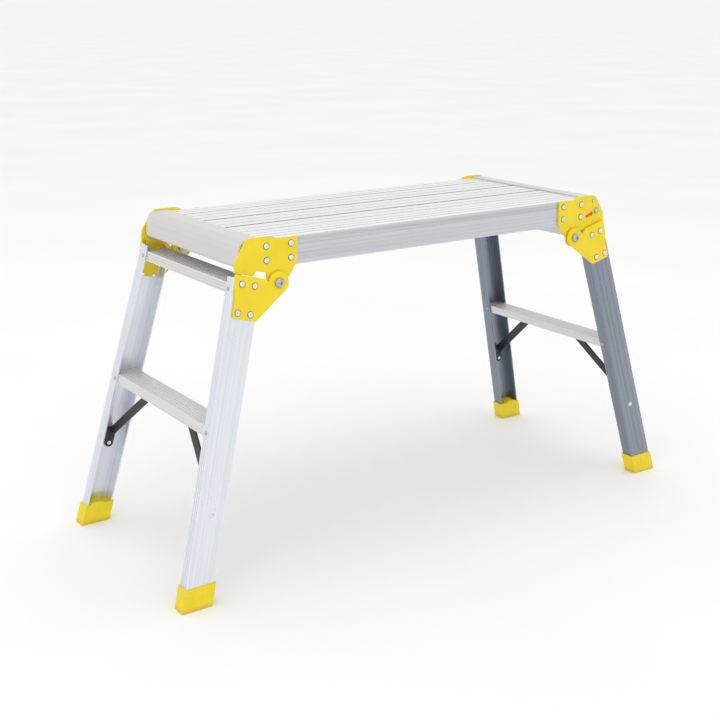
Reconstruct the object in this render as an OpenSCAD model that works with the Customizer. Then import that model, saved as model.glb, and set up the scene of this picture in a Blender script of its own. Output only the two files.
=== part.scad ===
// Folding work platform bench: an aluminium plank deck on two folding leg frames.
// X runs along the platform, the front is -Y, Z is up, the origin is on the floor under the middle.
// The leg frames are alike: the left one is the right one turned half a turn about Z.

/* [Platform] */
// Height of the deck surface above the floor
deck_h = 500; // [460:1:540]
// Width over the outer faces of the two side rails
deck_w = 286; // [270:1:300]
// Length of the side rails and of the planks between the end caps
rail_l = 624; // [610:1:640]
// Depth of a side rail
rail_d = 40.5; // [38:0.5:44]
// Width of the walking strip on top of a side rail
strip_w = 43; // [36:0.5:48]
// Wall thickness of a side rail
rail_t = 2.5; // [2:0.1:3]
// Depth of a plank
plank_d = 16; // [14:0.5:18]

/* [Legs] */
// Lean of a leg frame along the platform, in degrees
lean = 14.8; // [12:0.1:16]
// Sideways splay of a stile, in degrees
splay = 5.2; // [4:0.1:6]
// Width of a stile
stile_w = 41.5; // [38:0.5:44]
// Depth of a stile, over its flanges
stile_f = 20.5; // [18:0.5:22]
// Wall thickness of a stile
stile_t = 2.2; // [1.8:0.1:2.6]
// Height of the walking face of the middle tread
mid_tread_h = 249.5; // [240:0.5:260]
// Height of the top face of the tread under the platform
top_tread_h = 443.5; // [440:0.5:444]
// Depth of a tread
tread_d = 14; // [12:0.5:16]
// Height of a plastic foot, along the stile
foot_h = 33; // [28:1:40]

/* [Hinges] */
// Distance of a leg pivot from the middle of the platform
pivot_x = 284.5; // [280:0.5:288]
// Depth of a leg pivot below the deck surface
pivot_drop = 61.5; // [60:0.5:63]
// Thickness of the hinge plates
plate_t = 3; // [2.5:0.1:3.2]
// Diameter of the pivot bolt
bolt_d = 8; // [6:0.5:9]
// Radius of the hinge lobes around the pivot bolt
lobe_r = 15.5; // [14:0.5:16]
// Diameter of the release button
button_d = 9; // [8:0.5:10]

/* [Hidden] */
$fn = 48;
eps = 0.02;

// Derived places
half_w = deck_w / 2;
half_l = rail_l / 2;
rail_z = deck_h - rail_d;
pivot_z = deck_h - pivot_drop;
web_y = half_w + pivot_drop * tan(splay);
edge_in = 27.4;
edge_out = edge_in + stile_w;
stile_top = -2.1;
seam = 2.4;
seam_gap = 0.5;
cap_t = 2.2;
cap_lip_z = deck_h - 35.5;
cap_nose = 64;
cap_corner_r = 20;
// A fixed count: each plank is a node of its own
plank_n = 3;
plank_w = (deck_w - 2 * strip_w) / plank_n;
joint_gap = 0.5;
member_w = 30;
member_d = 17;
member_t = 2;
brace_w = 14;
brace_t = 3;
brace_foot_h = 130;
brace_knee_h = 150;
brace_head_y = 58;
brace_tab = 14;
sole = 4;
boot_t = 2;
mid_x = edge_in + stile_w / 2;
rivet_head_r = 4.4;
rivet_head_h = 2.3;
rivet_shank_r = 2.4;
lock_x = 50.5;
lock_z = 39.5;
lock_reach = 68.5;
tongue_t = 2.5;
tongue_y = half_w - 0.4;
pin_travel = 2;
lock_row = -1;
brace_foot = [mid_x, along(mid_x, stile_t, brace_foot_h)];
tongue_in = edge_in + stile_t + 3;
tongue_w = stile_w - 2 * stile_t - 6;
top_tread_gap = 5.4;
tread_rivet_r = 1.5;
brace_rivet_r = 1.6;
brace_rivet_gap = 7;
plank_rivet_r = 1.95;
rib_h = 0.8;
cap_edge = 24;
lock_lap = 3;
guard_rivet = [43.5, 56.5];
guard_rivet_r = 1.4;
button_stem_r = 2.7;
button_stem_l = 1.8;

// Hinge rivets, from the pivot: on the rail plate upright, on the leg plate along the stile
rail_rivets = [for (x = [-24, 16], z = [32.3, 52.6]) [x, z]];
leg_rivets = [for (x = [edge_in + 10.1, edge_out - 11.4], z = [-9.7, -49.5]) [x, z]];

// ---- Helpers ----

function unit(v) = v / norm(v);

// Points of the arc that rounds the corner b between a and c
function fillet(a, b, c, r) =
    let (u = unit(a - b), v = unit(c - b), half = acos(u * v) / 2)
    let (m = b + unit(u + v) * r / sin(half), p = b + u * r / tan(half), q = b + v * r / tan(half))
    let (a0 = atan2(p[1] - m[1], p[0] - m[0]), a1 = atan2(q[1] - m[1], q[0] - m[0]))
    let (turn = a1 - a0, sweep = turn > 180 ? turn - 360 : turn < -180 ? turn + 360 : turn)
    [for (i = [0 : 5]) m + r * [cos(a0 + sweep * i / 5), sin(a0 + sweep * i / 5)]];

// An outline whose corners are [x, z, radius]; a radius of 0 stays sharp
function rounded(pts) = [for (i = [0 : len(pts) - 1])
    let (n = len(pts), a = pts[(i + n - 1) % n], b = pts[i], c = pts[(i + 1) % n])
    each (b[2] == 0 ? [[b[0], b[1]]] : fillet([a[0], a[1]], [b[0], b[1]], [c[0], c[1]], b[2]))];

// A point given across and along the stile, as an upright offset from the pivot
function leaned(x, z) = [x * cos(lean) - z * sin(lean), x * sin(lean) + z * cos(lean)];

// Distance from the middle to the outer face of a stile web at height z
function web_at(z) = half_w + (deck_h - z) * tan(splay);

// Distance from the middle to the edge of a stile at height z; x is the edge's place across the stile
function stile_at(x, z) = pivot_x + x / cos(lean) + (pivot_z - z) * tan(lean) / cos(splay);

// Place along the stile of a point that is x across it, y inside its web and z above the floor
function along(x, y, z) = ((z - pivot_z + y * sin(splay)) / cos(splay) - x * sin(lean)) / cos(lean);

// Side +1 is the right-hand end and -1 the left-hand end
module at_end(side) {
    rotate([0, 0, side > 0 ? 0 : 180]) children();
}

// From a piece drawn for the right front corner to any corner; front is -1, rear +1
module at_corner(side, row) {
    at_end(side) mirror([0, side * row > 0 ? 1 : 0, 0]) children();
}

// An upright outline, drawn around the pivot, of thickness t starting at distance y from the middle
module upright(y, t) {
    translate([pivot_x, -y, pivot_z]) rotate([90, 0, 0]) linear_extrude(t) children();
}

// Frame of a stile web: the pivot at the origin, the web's outer face on Y = 0, Z up along the stile
module on_web() {
    translate([pivot_x, -web_y, pivot_z]) rotate([-splay, 0, 0]) rotate([0, -lean, 0]) children();
}

// A piece that lies on the stile web's outer face, t thick
module web_plate(t) {
    rotate([90, 0, 0]) linear_extrude(t) children();
}

// A domed rivet on Y = 0: the head points to -Y, the shank runs to +Y for the grip
module rivet(grip, head_r = rivet_head_r, head_h = rivet_head_h, shank_r = rivet_shank_r) {
    rotate([90, 0, 0]) rotate_extrude($fn = 24)
        polygon([[0, -grip - head_h * 0.6], [shank_r, -grip - head_h * 0.6],
            [shank_r * 1.35, -grip - head_h * 0.3], [shank_r * 1.35, -grip], [shank_r, -grip],
            [shank_r, 0], [head_r, 0], [head_r * 0.93, head_h * 0.42],
            [head_r * 0.68, head_h * 0.78], [head_r * 0.35, head_h * 0.96], [0, head_h]]);
}

// ---- Platform ----

// Rail section: the web on the left, the walking strip on top, a short flange below
module rail_section() {
    difference() {
        union() {
            square([rail_t, rail_d]);
            translate([0, rail_d - rail_t]) square([strip_w, rail_t]);
            square([18, rail_t]);
            translate([strip_w - 2, rail_d - plank_d]) square([2, plank_d]);
        }
        for (z = [8, 13, 28, 33]) translate([-eps, z]) square([0.4, 1.6]);
        for (y = [14, 29]) translate([y, rail_d - rib_h]) square([2, 1]);
    }
}

module side_rail(row) {
    color("#c4c6c8") mirror([0, row > 0 ? 1 : 0, 0])
        difference() {
            translate([-half_l, -half_w, rail_z]) rotate([90, 0, 90]) linear_extrude(rail_l) rail_section();
            for (s = [-1, 1], p = rail_rivets)
                translate([s * (pivot_x + p[0]), -half_w + 10, pivot_z + p[1]]) rotate([90, 0, 0])
                    cylinder(h = 12, r = rivet_shank_r, $fn = 24);
        }
}

// Hollow plank with raised grip ribs
module plank_section() {
    w = plank_w - joint_gap;
    ribs = 3;
    difference() {
        square([w, plank_d - rib_h]);
        translate([2, 1.6]) square([w - 4, plank_d - 4.6]);
    }
    for (i = [0 : ribs - 1])
        translate([1 + i * (w - 2) / ribs, plank_d - rib_h - eps])
            square([(w - 2) / ribs - 1.8, rib_h + eps]);
}

module plank(i) {
    middle = (i - (plank_n - 1) / 2) * plank_w;
    end = rail_l / 2 - pivot_x - cap_edge + 0.3;
    color("#cfd0d1") difference() {
        translate([-half_l, (i - plank_n / 2) * plank_w + joint_gap / 2, deck_h - plank_d])
            rotate([90, 0, 90]) linear_extrude(rail_l) plank_section();
        for (side = [-1, 1]) at_end(side) {
            // The ribs stop at the edge of the end cap
            translate([half_l - end, -half_w, deck_h - rib_h]) cube([end + 1, deck_w, 2 * rib_h]);
            for (x = [8, member_w - 8])
                translate([pivot_x - 4 - member_w / 2 + x, side * middle, deck_h - plank_d - 1])
                    cylinder(h = 4, r = plank_rivet_r, $fn = 24);
        }
    }
}

// Side view of the end cap, from the pivot: a bent skin over the plank ends, open towards the deck
module cap_section() {
    top = pivot_drop + cap_t;
    lip = cap_lip_z - pivot_z;
    difference() {
        polygon(rounded([[cap_edge, top, 0], [cap_nose - 9, top, 13], [cap_nose + 1, lip, 5],
            [cap_edge, lip, 0]]));
        polygon(rounded([[20, top - cap_t, 0], [cap_nose - 9 - cap_t, top - cap_t, 11],
            [cap_nose + 0.6 - cap_t, lip + cap_t, 3], [20, lip + cap_t, 0]]));
        translate([20, lip - 1]) square([cap_nose - 34, 2 + cap_t]);
    }
}

module end_cap(side) {
    w = half_w - 0.2;
    color("#d2d2d0") at_end(side) {
        difference() {
            upright(-w, 2 * w) cap_section();
            // The lower corner on the lock side is rounded off to let the lock tongue swing out
            translate([pivot_x + 40, -w, cap_lip_z]) rotate([90, 0, 90]) linear_extrude(40)
                polygon(concat([[-1, cap_corner_r], [-1, -1], [cap_corner_r, -1]],
                    [for (a = [270 : -10 : 180]) cap_corner_r * [1 + cos(a), 1 + sin(a)]]));
        }
        // Tongues that key into the hollow planks
        for (i = [0 : plank_n - 1])
            translate([half_l - 17, (i - plank_n / 2) * plank_w + 6, deck_h - plank_d + 2])
                cube([19, plank_w - 12, 9]);
        translate([half_l + 0.3, -w + 8, deck_h - plank_d + 2]) cube([2.5, 2 * w - 16, plank_d - 2 + eps]);
    }
}

// Channel under the planks, between the side rails
module cross_member(side) {
    w = half_w - rail_t;
    z = deck_h - plank_d - member_d;
    color("#b9bbbd") at_end(side) translate([pivot_x - 4 - member_w / 2, -w, z]) difference() {
        union() {
            difference() {
                cube([member_w, 2 * w, member_d]);
                translate([member_t, -1, -1])
                    cube([member_w - 2 * member_t, 2 * w + 2, member_d - member_t + 1]);
            }
            // End tabs against the rail webs
            for (y = [0, 2 * w - member_t])
                translate([-14, y, 2]) cube([member_w + 28, member_t, member_d - 4]);
        }
        for (s = [0 : plank_n - 1], x = [8, member_w - 8])
            translate([x, w + (s - (plank_n - 1) / 2) * plank_w, member_d - 5])
                cylinder(h = 10, r = 2, $fn = 24);
        for (p = [for (q = rail_rivets) if (q[1] < 40) q])
            translate([p[0] + 4 + member_w / 2, -5, pivot_z + p[1] - z]) rotate([-90, 0, 0])
                cylinder(h = 2 * w + 10, r = rivet_shank_r, $fn = 24);
    }
}

// Blind rivets that hold the planks down on the cross members
module plank_rivets() {
    z = deck_h - plank_d - member_t;
    color("#a8aaad") for (side = [-1, 1]) at_end(side)
        for (i = [0 : plank_n - 1], x = [8, member_w - 8])
            translate([pivot_x - 4 - member_w / 2 + x, (i - (plank_n - 1) / 2) * plank_w, z])
                rotate([90, 0, 0]) rivet(member_t + 1.6, 3.6, 1.6, plank_rivet_r);
}

// ---- Hinge plates ----

// Rail plate: upright plate with a lobe round the pivot; the locking version has almost no window
module rail_plate_outline(lock) {
    out = leaned(edge_out + 1.2 + (lock ? 2 : 0), seam + seam_gap);
    w0 = leaned(edge_in + 12.4, seam + seam_gap);
    w1 = lock ? leaned(25, seam + seam_gap) : w0;
    polygon(rounded([
        [-34, pivot_drop + 0.5, 3], [-6, pivot_drop - 1, 30],
        [9, pivot_drop + 4.5, 25], [47, pivot_drop + 4.5, 13],
        [out[0] - 1, out[1] + 14, 22], [out[0], out[1], 0.8], [w1[0], w1[1], 0.8],
        [w1[0] - 5, w1[1] + (lock ? 1.2 : 6.2), 2], [lobe_r + 1.5, w1[1] + (lock ? 0 : 2.4), 2.5],
        [lobe_r, lock ? 7 : 10, 1], [lobe_r, 0, 0], [-lobe_r, 0, 0], [-34, 25, 5]]));
}

module rail_plate(side, row) {
    lock = side * row < 0;
    color("#f2d416") at_corner(side, row) difference() {
        union() {
            upright(half_w, plate_t) rail_plate_outline(lock);
            upright(half_w, plate_t) circle(r = lobe_r);
        }
        upright(half_w - 1, plate_t + 2) circle(d = bolt_d + 0.1);
        for (p = rail_rivets) translate([pivot_x + p[0], -half_w + 5, pivot_z + p[1]]) rotate([90, 0, 0])
            cylinder(h = 12, r = rivet_shank_r, $fn = 24);
        if (lock) {
            upright(half_w - 1, plate_t + 2) translate([lock_x, lock_z]) circle(d = button_d + 0.16);
            upright(half_w - 1, plate_t + 2) translate(guard_rivet)
                circle(r = guard_rivet_r, $fn = 24);
        }
    }
}

module rail_plate_rivets() {
    color("#d9dadb") for (side = [-1, 1], row = [-1, 1]) at_corner(side, row) for (p = rail_rivets)
        translate([pivot_x + p[0], -half_w - plate_t, pivot_z + p[1]])
            rivet(plate_t + rail_t + (p[1] < 40 ? member_t : 0));
    // One small rivet near the release button
    color("#d9dadb") for (side = [-1, 1]) at_corner(side, side * lock_row)
        translate([pivot_x + guard_rivet[0], -half_w - plate_t, pivot_z + guard_rivet[1]])
            rivet(plate_t, 2.6, 1.3, guard_rivet_r);
}

// Leg plate: lies on the stile web, with an ear outside the rail plate's lobe. At a lock it laps
// over the lower edge of the rail plate
module leg_plate_outline(lock) {
    top = seam + (lock ? lock_lap : 0);
    polygon(rounded([
        [edge_out + 0.9, top, 1.5], [edge_out - 0.5, -16, 20], [edge_out - 4.2, -32, 20],
        [edge_out - 4.6, -58, 4],
        [edge_in - 0.6, -58, 4], [-lobe_r * sin(50), -lobe_r * cos(50), 0], [0, 0, 0], [lobe_r, -1.5, 0],
        [edge_in - 4 + (lock ? 5 : 0), top, 4]]));
}

module leg_plate(side, row) {
    color("#f2d416") at_corner(side, row) difference() {
        on_web() union() {
            web_plate(plate_t) leg_plate_outline(side * row < 0);
            web_plate(plate_t) circle(r = lobe_r + 0.4);
        }
        upright(web_y - 6, 20) circle(d = bolt_d + 0.1);
        on_web() for (p = leg_rivets) translate([p[0], 5, p[1]]) rotate([90, 0, 0])
            cylinder(h = 12, r = rivet_shank_r, $fn = 24);
    }
}

module leg_plate_rivets(side) {
    color("#d9dadb") for (row = [-1, 1]) at_corner(side, row) on_web() for (p = leg_rivets)
        translate([p[0], -plate_t, p[1]]) rivet(plate_t + stile_t + (side * row < 0 ? tongue_t : 0));
}

// Pivot bolt: domed head with a hexagon socket outside, shank through both plates
module pivot_bolts() {
    head_y = web_y + plate_t + 1;
    color("#8f9499") for (side = [-1, 1], row = [-1, 1]) at_corner(side, row) difference() {
        union() {
            upright(half_w - 8, head_y - half_w + 8 + eps) circle(d = bolt_d);
            translate([pivot_x, -head_y, pivot_z]) rotate([90, 0, 0]) rotate_extrude()
                polygon([[0, 0], [7, 0], [6.8, 1.6], [5.8, 3], [4, 3.9], [0, 4.2]]);
        }
        upright(head_y + 2.2, 4) circle(r = 2.5, $fn = 6);
    }
}

module pivot_washers() {
    gap = web_y - lobe_r / 2 * tan(splay) - half_w - plate_t - 0.3;
    color("#b5b8ba") for (side = [-1, 1], row = [-1, 1]) at_corner(side, row)
        upright(half_w + plate_t, gap) difference() {
            circle(r = lobe_r / 2);
            circle(d = bolt_d + 0.1);
        }
}

module pivot_nuts() {
    color("#b5b8ba") for (side = [-1, 1], row = [-1, 1]) at_corner(side, row)
        upright(half_w - 6.5, 6.5) difference() {
            circle(r = 7.5, $fn = 6);
            circle(d = bolt_d + 0.02);
        }
}

// ---- Leg frames ----

// Stile section: web on Y = 0 with fine ribs, flanges towards the middle of the frame
module stile_section() {
    translate([edge_in, 0]) difference() {
        square([stile_w, stile_f]);
        translate([stile_t, stile_t]) square([stile_w - 2 * stile_t, stile_f]);
        for (x = [8, 17, 30]) translate([x, -eps]) square([2.4, 0.3]);
        for (x = [-eps, stile_w - 0.4], i = [0 : 2]) translate([x, 5 + i * 5]) square([0.4 + eps, 1.6]);
    }
}

module stile_bar() {
    on_web() translate([0, 0, -600]) linear_extrude(600 + stile_top) stile_section();
}

// Everything below height z
module below(z) {
    translate([0, -500, z - 400]) cube([1000, 1000, 400]);
}

module web_holes(places) {
    on_web() for (p = places) translate([p[0], 9, p[1]]) rotate([90, 0, 0])
        cylinder(h = 18, r = rivet_shank_r, $fn = 24);
}

module stile(side, row) {
    color("#c6c8ca") at_corner(side, row) difference() {
        stile_bar();
        below(sole);
        web_holes(concat(leg_rivets, [brace_foot]));
        for (h = [top_tread_h, mid_tread_h]) tread_rivet_holes(h);
    }
}

// Tread section: level walking face with grip ribs, walls that follow the lean of the stiles
module tread_section() {
    w = (stile_w - 2 * stile_t) / cos(lean) - 0.9;
    k = tan(lean);
    t = 2;
    difference() {
        polygon([[0, 0], [w, 0], [w + tread_d * k, -tread_d], [tread_d * k, -tread_d]]);
        polygon([[t + t * k, -t], [w - t + t * k, -t], [w - t + (tread_d + 1) * k, -tread_d - 1],
            [t + (tread_d + 1) * k, -tread_d - 1]]);
        for (i = [0 : 5]) translate([3.4 + i * 5.6, -0.6]) square([2, 1]);
        for (i = [0 : 2]) translate([w - 0.35 + (2.5 + i * 4) * k, -4 - i * 4]) square([1.5, 1.3]);
    }
}

module tread(side, z, gap) {
    w = web_at(z) - stile_t / cos(splay) - gap;
    x = stile_at(edge_in + stile_t, z) + 0.2;
    color("#dcdddc") difference() {
        at_end(side) translate([x, w, z]) rotate([90, 0, 0]) linear_extrude(2 * w) tread_section();
        for (row = [-1, 1]) at_corner(side, row) {
            tread_rivet_holes(z);
            if (z == mid_tread_h) at_brace_head() translate([0, 0, -1])
                cylinder(h = 8, r = brace_rivet_r, $fn = 24);
        }
    }
}

// Both flanges of a stile, where the walls of a tread at height h are riveted on
module at_tread_rivets(h) {
    y = stile_f - 6.5;
    for (x = [edge_in, edge_out]) on_web() translate([x, y, along(x, y, h - tread_d / 2)])
        rotate([0, 0, x == edge_out ? 90 : -90]) children();
}

module tread_rivet_holes(h) {
    at_tread_rivets(h) rotate([90, 0, 0]) translate([0, 0, -7])
        cylinder(h = 10, r = tread_rivet_r, $fn = 24);
}

module tread_rivets(side) {
    color("#9fa2a5") for (row = [-1, 1], h = [top_tread_h, mid_tread_h])
        at_corner(side, row) at_tread_rivets(h) rivet(stile_t + 2.9, 3.2, 1.5, tread_rivet_r);
}

// Where a brace is riveted up into the middle tread, on the underside of the tread's skin
module at_brace_head() {
    skin = mid_tread_h - 2;
    translate([stile_at(mid_x, skin), brace_rivet_gap - brace_head_y, skin]) children();
}

// The leaned plane of a leg frame: X across it, Y world Y, Z along the lean
module on_frame() {
    translate([pivot_x, 0, pivot_z]) rotate([0, -lean, 0]) children();
}

// Flat brace: a tab under the middle tread, a diagonal bar and a tab riveted to the stile web
module brace(side, row) {
    skin = mid_tread_h - 2;
    top = (skin - pivot_z - mid_x * sin(lean)) / cos(lean);
    knee = (brace_knee_h - pivot_z - mid_x * sin(lean)) / cos(lean);
    knee_y = web_at(brace_knee_h) - stile_t - 4.6;
    run = unit([knee_y - brace_head_y, knee - top]);
    side_step = [-run[1], run[0]] * brace_w / 2;
    a = [brace_head_y - 1, top - brace_w * 0.45];
    b = [knee_y, knee];
    color("#26282a") at_corner(side, row) difference() {
        union() {
            on_frame() translate([mid_x + brace_t / 2, 0, 0]) rotate([90, 0, -90]) linear_extrude(brace_t)
                polygon([a + side_step, b + side_step, b - side_step, a - side_step]);
            translate([stile_at(mid_x, skin) - brace_tab / 2, -brace_head_y - 12, skin - brace_t - 0.1])
                cube([brace_tab, 24, brace_t]);
            on_web() translate([brace_foot[0], stile_t, brace_foot[1]]) {
                rotate([-90, 0, 0]) cylinder(h = brace_t, r = brace_tab / 2);
                translate([-brace_tab / 2, 0, 0])
                    cube([brace_tab, brace_t, brace_knee_h - brace_foot_h + brace_tab / 2]);
            }
        }
        web_holes([brace_foot]);
        at_brace_head() translate([0, 0, -10]) cylinder(h = 20, r = brace_rivet_r, $fn = 24);
    }
}

// Rivets of the braces: through the web, and blind up into the tread
module brace_rivets(side) {
    color("#9fa2a5") for (row = [-1, 1]) at_corner(side, row) {
        on_web() translate([brace_foot[0], 0, brace_foot[1]]) rivet(stile_t + brace_t, 4.2, 1.8);
        at_brace_head() translate([0, 0, -brace_t - 0.1]) {
            cylinder(h = brace_t + 1.3, r = brace_rivet_r, $fn = 24);
            rotate([180, 0, 0]) cylinder(h = 1.3, r1 = 3.4, r2 = 2.2, $fn = 24);
        }
    }
}

// Plastic foot: a boot round the stile, a plug inside it and a flat sole
module foot(side, row) {
    color("#f4d818") at_corner(side, row) difference() {
        union() {
            intersection() {
                on_web() translate([edge_in - boot_t, -boot_t, -520])
                    cube([stile_w + 2 * boot_t, stile_f + 2 * boot_t, 300]);
                translate([0, -500, 0]) cube([1000, 1000, foot_h]);
            }
            // The plug stands above the rim, with a round-topped middle
            on_web() intersection() {
                translate([edge_in + stile_t, stile_t, -520])
                    cube([stile_w - 2 * stile_t, stile_f - stile_t + boot_t, 300]);
                translate([mid_x, -10, along(mid_x, 0, foot_h) - stile_w * 0.6 + 5]) rotate([-90, 0, 0])
                    cylinder(h = 60, r = stile_w * 0.6);
            }
        }
        below(0);
        difference() {
            stile_bar();
            below(sole);
        }
    }
}

// ---- Locks, at the right front and the left rear corner ----

// Tongue: riveted inside the stile web, cranked up behind the rail plate
module lock_tongue(side) {
    low = along(mid_x, stile_t, pivot_z - 33) - 6;
    y = tongue_y - tongue_t;
    inset = 0.15;
    a = tongue_in + inset;
    b = tongue_in + tongue_w - inset;
    color("#e6c814") at_corner(side, side * lock_row) difference() {
        union() {
            on_web() translate([tongue_in, stile_t, low]) cube([tongue_w, tongue_t, -4 - low]);
            hull() {
                on_web() translate([a, stile_t + inset, -5.6])
                    cube([b - a, tongue_t - 2 * inset, 1.4]);
                upright(y + inset, tongue_t - 2 * inset)
                    polygon([leaned(a, 1.8), leaned(b, 1.8), leaned(b, 2.6), leaned(a, 2.6)]);
            }
            upright(y, tongue_t) intersection() {
                polygon([leaned(tongue_in, 1.5), leaned(tongue_in + tongue_w, 1.5),
                    [lock_x + 20, lock_z + 8], [lock_x - 9, lock_z + 8]]);
                circle(r = lock_reach, $fn = 96);
            }
        }
        upright(y - 3, tongue_t + 6) translate([lock_x, lock_z]) circle(d = 6.1);
        web_holes(leg_rivets);
    }
}

// Leaf spring behind the lock pin, drawn as it stands when the pin is pushed in
module lock_spring(side) {
    y = tongue_y - tongue_t;
    lift = pin_travel + 1.1;
    color("#a7abae") at_corner(side, side * lock_row) translate([pivot_x + lock_x - 3, -y, pivot_z])
        rotate([90, 0, 90]) linear_extrude(6)
            polygon([[0, 20], [0, 24], [lift, 32], [lift, lock_z + 3.2], [lift + 0.6, lock_z + 3.2],
                [lift + 0.6, 31.8], [0.6, 23.8], [0.6, 20]]);
}

// Lock pin: carried by the tongue, its face stands just short of the rail plate
module lock_pin(side) {
    y = tongue_y - tongue_t;
    color("#b9bcbe") at_corner(side, side * lock_row) {
        upright(y - 0.2, tongue_t + 0.1) translate([lock_x, lock_z]) circle(d = 6);
        upright(y - 1, 0.9) translate([lock_x, lock_z]) circle(d = 7.6);
    }
}

// Release button: slides through the rail plate; its slim inner end reaches through the tongue's hole
module release_button(side) {
    color("#a9b4a8") at_corner(side, side * lock_row)
        translate([pivot_x + lock_x, -half_w - 0.1, pivot_z + lock_z]) rotate([90, 0, 0]) rotate_extrude()
            polygon([[0, 0], [button_stem_r, 0], [button_stem_r, button_stem_l],
                [button_d / 2, button_stem_l], [button_d / 2, 6], [button_d / 2 - 0.7, 7],
                [button_d / 2 - 2, 7.7], [0, 8]]);
}

// Thin arrow label on the rail plate, pointing at the release button
module release_arrow(side) {
    color("#d8431c") at_corner(side, side * lock_row)
        upright(half_w + plate_t, 0.3) translate([lock_x - 6.5, lock_z - 3]) rotate(18)
            polygon([[0, 0], [-5, 5], [-5, 2.4], [-17, 2.4], [-17, -2.4], [-5, -2.4], [-5, -5]]);
}

side_rail(-1);  // side_rail_front
side_rail(1);  // side_rail_rear
plank(0);  // plank_front
plank(1);  // plank_middle
plank(2);  // plank_rear
end_cap(-1);  // end_cap_left
end_cap(1);  // end_cap_right
cross_member(-1);  // cross_member_left
cross_member(1);  // cross_member_right
plank_rivets();
rail_plate(-1, -1);  // rail_plate_left_front
rail_plate(-1, 1);  // rail_plate_left_rear
rail_plate(1, -1);  // rail_plate_right_front
rail_plate(1, 1);  // rail_plate_right_rear
rail_plate_rivets();
pivot_bolts();
pivot_washers();
pivot_nuts();
stile(-1, -1);  // stile_left_front
stile(-1, 1);  // stile_left_rear
tread(-1, top_tread_h, top_tread_gap);  // top_tread_left
tread(-1, mid_tread_h, joint_gap);  // mid_tread_left
leg_plate(-1, -1);  // leg_plate_left_front
leg_plate(-1, 1);  // leg_plate_left_rear
leg_plate_rivets(-1);  // leg_plate_rivets_left
tread_rivets(-1);  // tread_rivets_left
brace(-1, -1);  // brace_left_front
brace(-1, 1);  // brace_left_rear
brace_rivets(-1);  // brace_rivets_left
lock_tongue(-1);  // lock_tongue_left
lock_spring(-1);  // lock_spring_left
foot(-1, -1);  // foot_left_front
foot(-1, 1);  // foot_left_rear
stile(1, -1);  // stile_right_front
stile(1, 1);  // stile_right_rear
tread(1, top_tread_h, top_tread_gap);  // top_tread_right
tread(1, mid_tread_h, joint_gap);  // mid_tread_right
leg_plate(1, -1);  // leg_plate_right_front
leg_plate(1, 1);  // leg_plate_right_rear
leg_plate_rivets(1);  // leg_plate_rivets_right
tread_rivets(1);  // tread_rivets_right
brace(1, -1);  // brace_right_front
brace(1, 1);  // brace_right_rear
brace_rivets(1);  // brace_rivets_right
lock_tongue(1);  // lock_tongue_right
lock_spring(1);  // lock_spring_right
foot(1, -1);  // foot_right_front
foot(1, 1);  // foot_right_rear
release_button(-1);  // release_button_left
release_button(1);  // release_button_right
lock_pin(-1);  // lock_pin_left
lock_pin(1);  // lock_pin_right
release_arrow(-1);  // release_arrow_left
release_arrow(1);  // release_arrow_right
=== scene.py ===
import math

import bmesh
import bpy
import numpy as np
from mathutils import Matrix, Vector


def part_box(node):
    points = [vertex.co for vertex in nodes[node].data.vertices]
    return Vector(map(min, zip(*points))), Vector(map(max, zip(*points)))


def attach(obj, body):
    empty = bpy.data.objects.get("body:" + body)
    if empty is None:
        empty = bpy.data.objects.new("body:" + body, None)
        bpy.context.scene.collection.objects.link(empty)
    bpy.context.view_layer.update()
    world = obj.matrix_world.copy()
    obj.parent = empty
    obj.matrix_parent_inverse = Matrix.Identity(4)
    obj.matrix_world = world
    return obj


# Looks of the folding work platform bench, in metres, in the frame of the imported part.
# The CAD nodes keep their shapes: this script gives them materials and rounded edges, and adds rings of
# painted shade around rivet heads, the floor, the light and the camera.

SIDES = ("left", "right")
ROWS = ("front", "rear")
MM = 0.001
ALONG = (1, 0, 0)
ACROSS = (0, 1, 0)

# Light and dark tones of the stiles' metal. The right stiles are the same metal as the left: their much
# darker tones are painted shade.
STILE_TONES_WITH_PAINTED_SHADE = {
    "left": ((0.80, 0.83, 0.88), (0.58, 0.62, 0.69)),
    "right": ((0.30, 0.34, 0.40), (0.15, 0.18, 0.23)),
}

# Grain of an extrusion, as changes per metre across its length and along it
DIE_LINES = (380, 1.2)
SOFT_BANDS = (62, 0.9)
# Depth of the shaded grooves below a walking face, and how dark their painted shade is next to the dark
# tone
GROOVE_DEPTH = 0.5 * MM
GROOVE_SHADE = 0.34
# The walking face's own look is full down to the first depth, and its painted highlight is gone at the
# second
FACE_DEPTH = 0.1 * MM
HIGHLIGHT_DEPTH = 0.3 * MM
PAINTED_TOP_HIGHLIGHT = (0.80, 0.80, 0.80)
# Height of the part of a foot that floor dirt reaches
DIRTY_SOLE = 9 * MM

# Ring of painted shade around a rivet head: its gap to the head and the radius of its round section
RIM_GAP = 0.15 * MM
RIM_THICKNESS = 0.4 * MM
# Points of a rivet this far out, as a share of its largest radius, are its head's rim
RIM_SHARE = 0.98
# Points of a mesh on the same step of this grid, in steps per metre, are one point
GRID = 1e5

# Colour sockets of the Mix node
MIX_FIRST, MIX_SECOND, MIX_RESULT = 6, 7, 2

# What the lamps point at
BENCH_MIDDLE = (0, 0, 0.3)

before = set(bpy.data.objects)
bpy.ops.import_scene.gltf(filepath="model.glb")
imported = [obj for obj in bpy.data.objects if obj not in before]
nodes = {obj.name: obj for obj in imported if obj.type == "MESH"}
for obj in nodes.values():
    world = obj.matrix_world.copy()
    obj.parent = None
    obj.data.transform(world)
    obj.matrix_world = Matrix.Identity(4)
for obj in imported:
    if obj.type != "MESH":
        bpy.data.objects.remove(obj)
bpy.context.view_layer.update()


# ---- Shader helpers ----

def start_material(name):
    """A new node material and its tree and main shader."""
    material = bpy.data.materials.new(name)
    material.use_nodes = True
    tree = material.node_tree
    return material, tree, tree.nodes["Principled BSDF"]


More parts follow.
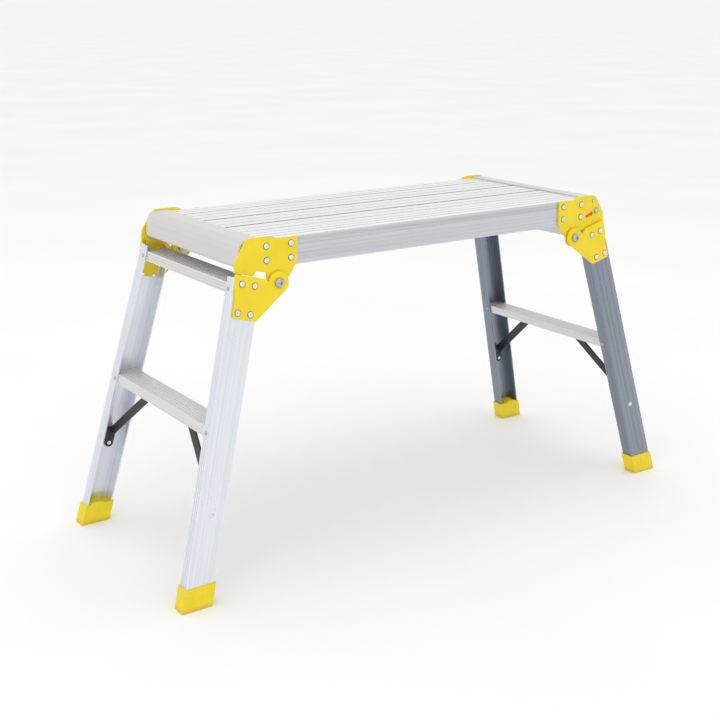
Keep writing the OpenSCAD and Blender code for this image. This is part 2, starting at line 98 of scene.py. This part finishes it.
def plain_place(tree):
    """Object coordinates, which stay with the surface when its body moves."""
    return tree.nodes.new("ShaderNodeTexCoord").outputs["Object"]


def rest_height(tree):
    """Height above the floor, at rest."""
    split = tree.nodes.new("ShaderNodeSeparateXYZ")
    tree.links.new(plain_place(tree), split.inputs["Vector"])
    return split.outputs["Z"]


def grain_coordinates(tree, along, across, lengthwise):
    """Object coordinates turned so that Z runs along the extrusion, with a scale for each way."""
    place = plain_place(tree)
    joined = tree.nodes.new("ShaderNodeCombineXYZ")
    w = Vector(along).normalized()
    u = w.orthogonal().normalized()
    v = w.cross(u)
    for socket, axis in zip("XYZ", (u * across, v * across, w * lengthwise)):
        dot = tree.nodes.new("ShaderNodeVectorMath")
        dot.operation = "DOT_PRODUCT"
        dot.inputs[1].default_value = axis
        tree.links.new(place, dot.inputs[0])
        tree.links.new(dot.outputs["Value"], joined.inputs[socket])
    return joined.outputs["Vector"]


def noise(tree, vector, scale, detail=3.0, roughness=0.55):
    """A noise value over the surface."""
    texture = tree.nodes.new("ShaderNodeTexNoise")
    texture.inputs["Scale"].default_value = scale
    texture.inputs["Detail"].default_value = detail
    texture.inputs["Roughness"].default_value = roughness
    tree.links.new(vector, texture.inputs["Vector"])
    return texture.outputs["Fac"]


def spread(tree, value, low, high, start=0.3, end=0.7):
    """Maps a value from start to end onto the numbers from low to high."""
    mapped = tree.nodes.new("ShaderNodeMapRange")
    mapped.inputs["From Min"].default_value = start
    mapped.inputs["From Max"].default_value = end
    mapped.inputs["To Min"].default_value = low
    mapped.inputs["To Max"].default_value = high
    tree.links.new(value, mapped.inputs["Value"])
    return mapped.outputs["Result"]


def mix_colours(tree, factor, first, second):
    """Mixes two colours; each is a socket or a plain colour."""
    mixed = tree.nodes.new("ShaderNodeMix")
    mixed.data_type = "RGBA"
    tree.links.new(factor, mixed.inputs["Factor"])
    for socket, colour in ((mixed.inputs[MIX_FIRST], first), (mixed.inputs[MIX_SECOND], second)):
        if isinstance(colour, tuple):
            socket.default_value = (*colour, 1.0)
        else:
            tree.links.new(colour, socket)
    return mixed.outputs[MIX_RESULT]


def blotched(tree, value, first, second):
    """A colour that wanders between two tones with a noise value."""
    return mix_colours(tree, spread(tree, value, low=0, high=1), first, second)


def set_look(tree, shader, colour, roughness):
    """Links the sockets that vary over the surface."""
    tree.links.new(colour, shader.inputs["Base Color"])
    tree.links.new(roughness, shader.inputs["Roughness"])


def add_bump(tree, shader, height, strength, distance):
    """Small relief from a height value."""
    bump = tree.nodes.new("ShaderNodeBump")
    bump.inputs["Strength"].default_value = strength
    bump.inputs["Distance"].default_value = distance
    tree.links.new(height, bump.inputs["Height"])
    tree.links.new(bump.outputs["Normal"], shader.inputs["Normal"])


# ---- Materials ----

def groove_painted_shade(tree, colour, top, darkening):
    """Darkens what lies below the walking face: painted shade in the grooves."""
    factor = spread(
        tree, rest_height(tree), low=1.0, high=0.0, start=top - GROOVE_DEPTH, end=top - FACE_DEPTH)
    return mix_colours(tree, factor, colour, darkening)


def top_painted_highlight(tree, colour, top):
    """Lightens the walking face itself: a painted highlight on the top face."""
    factor = spread(
        tree, rest_height(tree), low=0.0, high=1.0, start=top - HIGHLIGHT_DEPTH, end=top - FACE_DEPTH)
    return mix_colours(tree, factor, colour, PAINTED_TOP_HIGHLIGHT)


def extruded_aluminium(name, along, light, dark, rough=0.34, metal=0.6, groove_top=None,
                       bright_top=None):
    """Mill-finish extrusion: fine die lines along its length, broad soft bands, dull patches."""
    material, tree, shader = start_material(name)
    fine = noise(tree, grain_coordinates(tree, along, *DIE_LINES), scale=1.0, detail=3.0)
    broad = noise(tree, grain_coordinates(tree, along, *SOFT_BANDS), scale=1.0, detail=2.0)
    patches = noise(tree, plain_place(tree), scale=16, detail=3.0)
    lines = mix_colours(tree, spread(tree, fine, low=0.35, high=1), dark, light)
    colour = mix_colours(tree, spread(tree, broad, low=0, high=0.6), lines, light)
    # Painted shade in the grooves below the walking face.
    if groove_top is not None:
        colour = groove_painted_shade(tree, colour, groove_top, tuple(GROOVE_SHADE * c for c in dark))
    # Painted highlight on the walking face.
    if bright_top is not None:
        colour = top_painted_highlight(tree, colour, bright_top)
    set_look(tree, shader, colour, spread(tree, patches, low=rough - 0.05, high=rough + 0.08))
    shader.inputs["Metallic"].default_value = metal
    add_bump(tree, shader, fine, strength=0.06, distance=0.06 * MM)
    return material


def yellow_plate():
    """Powder-coated plate: slight orange peel and a few dull rubbed spots."""
    material, tree, shader = start_material("yellow_plate")
    place = plain_place(tree)
    wear = noise(tree, place, scale=34, detail=4.0)
    colour = blotched(tree, wear, (0.80, 0.60, 0.003), (0.87, 0.67, 0.006))
    set_look(tree, shader, colour, spread(tree, wear, low=0.42, high=0.30))
    peel = noise(tree, place, scale=900, detail=2.0)
    add_bump(tree, shader, peel, strength=0.12, distance=0.1 * MM)
    return material


def yellow_foot(sole_top):
    """Moulded plastic, fine grained, with floor dirt rubbed in near the sole."""
    material, tree, shader = start_material("yellow_foot")
    place = plain_place(tree)
    mottle = noise(tree, place, scale=70, detail=4.0)
    clean = blotched(tree, mottle, (0.78, 0.60, 0.004), (0.85, 0.67, 0.008))
    darkening = spread(tree, rest_height(tree), low=0.45, high=0.0, start=0.0, end=sole_top)
    colour = mix_colours(tree, darkening, clean, (0.42, 0.31, 0.05))
    set_look(tree, shader, colour, spread(tree, mottle, low=0.44, high=0.56))
    grain = noise(tree, place, scale=1400, detail=2.0)
    add_bump(tree, shader, grain, strength=0.2, distance=0.1 * MM)
    return material


def bright_steel(name, light, dark, rough):
    """Plated metal with faint clouding, for the small pieces: rivets, bolts, pins and buttons."""
    material, tree, shader = start_material(name)
    place = plain_place(tree)
    cloud = noise(tree, place, scale=260, detail=3.0)
    colour = blotched(tree, cloud, dark, light)
    set_look(tree, shader, colour, spread(tree, cloud, low=rough, high=rough + 0.16))
    shader.inputs["Metallic"].default_value = 1.0
    grain = noise(tree, place, scale=1500, detail=2.0)
    add_bump(tree, shader, grain, strength=0.08, distance=0.1 * MM)
    return material


def black_paint():
    """Satin black coated strip with faint scuffs."""
    material, tree, shader = start_material("black_paint")
    place = plain_place(tree)
    scuff = noise(tree, place, scale=120, detail=5.0)
    colour = blotched(tree, scuff, (0.010, 0.011, 0.013), (0.030, 0.032, 0.036))
    set_look(tree, shader, colour, spread(tree, scuff, low=0.36, high=0.55))
    grain = noise(tree, place, scale=1100, detail=2.0)
    add_bump(tree, shader, grain, strength=0.15, distance=0.1 * MM)
    return material


def painted_rim_shade():
    """Dull dark painted shade for the rings around rivet heads."""
    material, tree, shader = start_material("painted_rim_shade")
    blotch = noise(tree, plain_place(tree), scale=500, detail=3.0)
    colour = blotched(tree, blotch, (0.045, 0.04, 0.028), (0.12, 0.10, 0.05))
    set_look(tree, shader, colour, spread(tree, blotch, low=0.55, high=0.75))
    return material


def printed_arrow():
    """Red-orange label print, a little uneven."""
    material, tree, shader = start_material("printed_arrow")
    ink = noise(tree, plain_place(tree), scale=420, detail=3.0)
    colour = blotched(tree, ink, (0.58, 0.055, 0.012), (0.76, 0.095, 0.02))
    set_look(tree, shader, colour, spread(tree, ink, low=0.38, high=0.5))
    return material


def pale_floor():
    """Even, pale studio floor."""
    material, tree, shader = start_material("pale_floor")
    tone = noise(tree, plain_place(tree), scale=1.5, detail=2.0)
    colour = blotched(tree, tone, (0.90, 0.90, 0.90), (0.93, 0.93, 0.93))
    tree.links.new(colour, shader.inputs["Base Color"])
    shader.inputs["Roughness"].default_value = 0.9
    shader.inputs["Specular IOR Level"].default_value = 0.1
    return material


# ---- Shape helpers ----

def main_axes(name):
    """Middle of a CAD node's vertices, and its directions from the longest to the thinnest."""
    points = np.array([v.co for v in nodes[name].data.vertices])
    middle = points.mean(0)
    return middle, np.linalg.svd(points - middle, full_matrices=False)[2]


def long_axis(name):
    """Direction in which a CAD node is longest."""
    axes = main_axes(name)[1]
    return Vector(axes[0])


def flat_normal(name):
    """Outward direction across a flat CAD node, away from the middle of the bench."""
    middle, axes = main_axes(name)
    normal = Vector(axes[2])
    return normal if normal.y * middle[1] > 0 else -normal


def dress(name, material):
    """Gives a CAD node one material."""
    slots = nodes[name].data.materials
    slots.clear()
    slots.append(material)


def soften(name, width, segments=2):
    """Rounds the edges of a hard part, as pressing, tumbling or moulding leaves them."""
    modifiers = nodes[name].modifiers
    weld = modifiers.new("weld", "WELD")
    weld.merge_threshold = 0.01 * MM
    flat = modifiers.new("flat", "DECIMATE")
    flat.decimate_type = "DISSOLVE"
    flat.angle_limit = math.radians(1)
    bevel = modifiers.new("bevel", "BEVEL")
    bevel.width = width
    bevel.segments = segments
    bevel.limit_method = "ANGLE"
    bevel.angle_limit = math.radians(35)
    bevel.use_clamp_overlap = True


def solids_of(name):
    """The separate solids of a CAD node, each as an array of its points."""
    mesh = nodes[name].data
    keys = [tuple(round(c * GRID) for c in v.co) for v in mesh.vertices]
    parent = {key: key for key in keys}

    def root(key):
        while parent[key] != key:
            parent[key] = parent[parent[key]]
            key = parent[key]
        return key

    for edge in mesh.edges:
        first, second = (root(keys[i]) for i in edge.vertices)
        parent[first] = second
    groups = {}
    for key, vertex in zip(keys, mesh.vertices):
        groups.setdefault(root(key), []).append(vertex.co[:])
    return [np.array(groups[key]) for key in sorted(groups)]


def head_ring(points, axis):
    """Centre and radius of the rim of a rivet's head, which points along the axis."""
    along = points @ np.array(axis)
    flat = points - np.outer(along, axis)
    centre = (flat.min(0) + flat.max(0)) / 2
    radius = np.linalg.norm(flat - centre, axis=1)
    rim = radius > RIM_SHARE * radius.max()
    return Vector(centre) + Vector(axis) * along[rim].min(), radius.max()


def add_ring(shape, centre, axis, radius, thickness):
    """A thin ring of round section around the axis."""
    turns, corners = 32, 8
    u = Vector(axis).orthogonal().normalized()
    v = Vector(axis).cross(u)
    rows = []
    for i in range(turns):
        a = 2 * math.pi * i / turns
        out = u * math.cos(a) + v * math.sin(a)
        row = []
        for k in range(corners):
            b = 2 * math.pi * k / corners
            offset = out * (radius + thickness * math.cos(b)) + Vector(axis) * thickness * math.sin(b)
            row.append(shape.verts.new(centre + offset))
        rows.append(row)
    for i in range(turns):
        for k in range(corners):
            j, m = (i + 1) % turns, (k + 1) % corners
            face = shape.faces.new((rows[i][k], rows[j][k], rows[j][m], rows[i][m]))
            face.smooth = True


# ---- Sub-parts ----

def dress_platform():
    """Rails, planks, end caps and cross members."""
    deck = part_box("plank_middle")[1].z
    # The rails' top face gets a painted highlight.
    rail = extruded_aluminium(
        "rail_metal", ALONG, light=(0.62, 0.64, 0.67), dark=(0.34, 0.36, 0.40), metal=0.5, bright_top=deck)
    # The planks' grooves get painted shade.
    plank = extruded_aluminium(
        "plank_metal", ALONG, light=(0.78, 0.78, 0.78), dark=(0.62, 0.62, 0.63), rough=0.42, metal=0.35,
        groove_top=deck)
    cap = extruded_aluminium(
        "cap_metal", ACROSS, light=(0.66, 0.65, 0.63), dark=(0.54, 0.53, 0.52), rough=0.4, metal=0.45)
    member = extruded_aluminium(
        "member_metal", ACROSS, light=(0.5, 0.51, 0.52), dark=(0.36, 0.37, 0.39), rough=0.42)
    for row in ROWS:
        dress(f"side_rail_{row}", rail)
    for place in ("front", "middle", "rear"):
        dress(f"plank_{place}", plank)
    for side in SIDES:
        dress(f"end_cap_{side}", cap)
        soften(f"end_cap_{side}", width=0.4 * MM)
        dress(f"cross_member_{side}", member)


def dress_leg(side):
    """Stiles and treads of one leg frame."""
    tread = extruded_aluminium(
        f"tread_metal_{side}", ACROSS, light=(0.76, 0.75, 0.74), dark=(0.58, 0.57, 0.56), rough=0.4,
        metal=0.35)
    # For the right stiles these tones are painted shade: the same metal drawn darker.
    light, dark = STILE_TONES_WITH_PAINTED_SHADE[side]
    for row in ROWS:
        stile = f"stile_{side}_{row}"
        dress(stile, extruded_aluminium(
            f"{stile}_metal", long_axis(stile), light, dark, rough=0.3, metal=0.75))
    for height in ("top", "mid"):
        dress(f"{height}_tread_{side}", tread)


def dress_hinges(plate, bright, grey):
    """Hinge plates, the inside of the locks, pivot bolts and every rivet."""
    for side in SIDES:
        for row in ROWS:
            for kind in ("rail", "leg"):
                dress(f"{kind}_plate_{side}_{row}", plate)
                soften(f"{kind}_plate_{side}_{row}", width=0.5 * MM)
        dress(f"lock_tongue_{side}", plate)
        dress(f"lock_spring_{side}", grey)
        dress(f"lock_pin_{side}", grey)
        dress(f"leg_plate_rivets_{side}", bright)
        dress(f"tread_rivets_{side}", grey)
        dress(f"brace_rivets_{side}", bright)
    dress("rail_plate_rivets", bright)
    for name in ("pivot_bolts", "pivot_washers", "pivot_nuts", "plank_rivets"):
        dress(name, grey)


def rim_rivets(name, body, axis_of, material):
    """Dark rings of painted shade around the heads of a node's rivets."""
    shape = bmesh.new()
    for points in solids_of(name):
        axis = axis_of(points)
        centre, radius = head_ring(points, axis)
        add_ring(shape, centre, axis, radius + RIM_GAP, RIM_THICKNESS)
    bmesh.ops.recalc_face_normals(shape, faces=shape.faces)
    mesh = bpy.data.meshes.new(f"{name}_rims")
    shape.to_mesh(mesh)
    shape.free()
    rims = bpy.data.objects.new(f"{name}_rims", mesh)
    mesh.materials.append(material)
    bpy.context.scene.collection.objects.link(rims)
    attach(rims, body)


def rim_all_rivets():
    """Rims for the rivets of the hinge plates."""
    ring_shade = painted_rim_shade()

    def outward(points):
        return Vector((0, math.copysign(1, points.mean(0)[1]), 0))

    rim_rivets("rail_plate_rivets", "platform", outward, ring_shade)
    for side in SIDES:
        def web_normal(points, side=side):
            row = "front" if points.mean(0)[1] < 0 else "rear"
            return flat_normal(f"leg_plate_{side}_{row}")

        rim_rivets(f"leg_plate_rivets_{side}", f"leg_{side}", web_normal, ring_shade)


def dress_buttons():
    """Release buttons and their printed arrows."""
    button = bright_steel("button_metal", light=(0.62, 0.68, 0.60), dark=(0.42, 0.48, 0.42), rough=0.3)
    arrow = printed_arrow()
    for side in SIDES:
        dress(f"release_button_{side}", button)
        dress(f"release_arrow_{side}", arrow)


def dress_braces_and_feet():
    """Black braces and yellow feet."""
    black = black_paint()
    foot = yellow_foot(DIRTY_SOLE)
    for side in SIDES:
        for row in ROWS:
            dress(f"brace_{side}_{row}", black)
            soften(f"brace_{side}_{row}", width=0.3 * MM)
            dress(f"foot_{side}_{row}", foot)
            soften(f"foot_{side}_{row}", width=1.6 * MM, segments=3)


# ---- Studio ----

def make_floor():
    """A wide floor, which reaches to the horizon."""
    mesh = bpy.data.meshes.new("floor")
    shape = bmesh.new()
    bmesh.ops.create_grid(shape, x_segments=4, y_segments=4, size=400)
    shape.to_mesh(mesh)
    shape.free()
    floor = bpy.data.objects.new("floor", mesh)
    floor.data.materials.append(pale_floor())
    bpy.context.scene.collection.objects.link(floor)


def soft_light(name, place, size, power, colour=(1, 1, 1)):
    """A large square softbox that points at the bench."""
    data = bpy.data.lights.new(name, "AREA")
    data.size = size
    data.energy = power
    data.color = colour
    lamp = bpy.data.objects.new(name, data)
    lamp.location = place
    lamp.rotation_euler = (Vector(BENCH_MIDDLE) - lamp.location).to_track_quat("-Z", "Y").to_euler()
    bpy.context.scene.collection.objects.link(lamp)


def make_world():
    """Even pale surround, slightly cool near the horizon and slightly warm overhead."""
    world = bpy.data.worlds.new("studio")
    bpy.context.scene.world = world
    world.use_nodes = True
    tree = world.node_tree
    back = tree.nodes["Background"]
    place = tree.nodes.new("ShaderNodeTexCoord")
    height = tree.nodes.new("ShaderNodeSeparateXYZ")
    tree.links.new(place.outputs["Generated"], height.inputs["Vector"])
    rise = spread(tree, height.outputs["Z"], low=0, high=1, start=0.0, end=0.8)
    tree.links.new(mix_colours(tree, rise, (0.97, 0.98, 1.0), (1.0, 0.99, 0.98)), back.inputs["Color"])
    back.inputs["Strength"].default_value = 1.0


def make_camera():
    """Stands in front of the left end, above the deck, and looks down across the platform.

    Its place, turns in radians and lens come from a fit to the photograph's viewing angle.
    """
    data = bpy.data.cameras.new("camera")
    data.lens = 59.86
    data.sensor_width = 36
    camera = bpy.data.objects.new("camera", data)
    yaw, pitch = 0.6091, 0.2941
    ahead = Vector((math.sin(yaw) * math.cos(pitch), math.cos(yaw) * math.cos(pitch), -math.sin(pitch)))
    camera.location = (-1.12, -1.5454, 0.8176)
    camera.rotation_euler = ahead.to_track_quat("-Z", "Y").to_euler()
    bpy.context.scene.collection.objects.link(camera)
    bpy.context.scene.camera = camera


def make_studio():
    """Floor, surround, lights and camera."""
    bpy.context.scene.view_settings.view_transform = "Standard"
    make_floor()
    make_world()
    soft_light("overhead", place=(0, 0, 3.2), size=3.5, power=14)
    soft_light("key", place=(-2.6, -2.2, 2.2), size=2.2, power=12, colour=(1.0, 0.98, 0.95))
    make_camera()


dress_platform()
for leg_side in SIDES:
    dress_leg(leg_side)
dress_hinges(
    plate=yellow_plate(),
    bright=bright_steel("bright_steel", light=(0.84, 0.85, 0.86), dark=(0.66, 0.67, 0.69), rough=0.16),
    grey=bright_steel("grey_steel", light=(0.52, 0.54, 0.56), dark=(0.38, 0.40, 0.42), rough=0.28),
)
rim_all_rivets()
dress_buttons()
dress_braces_and_feet()
make_studio()
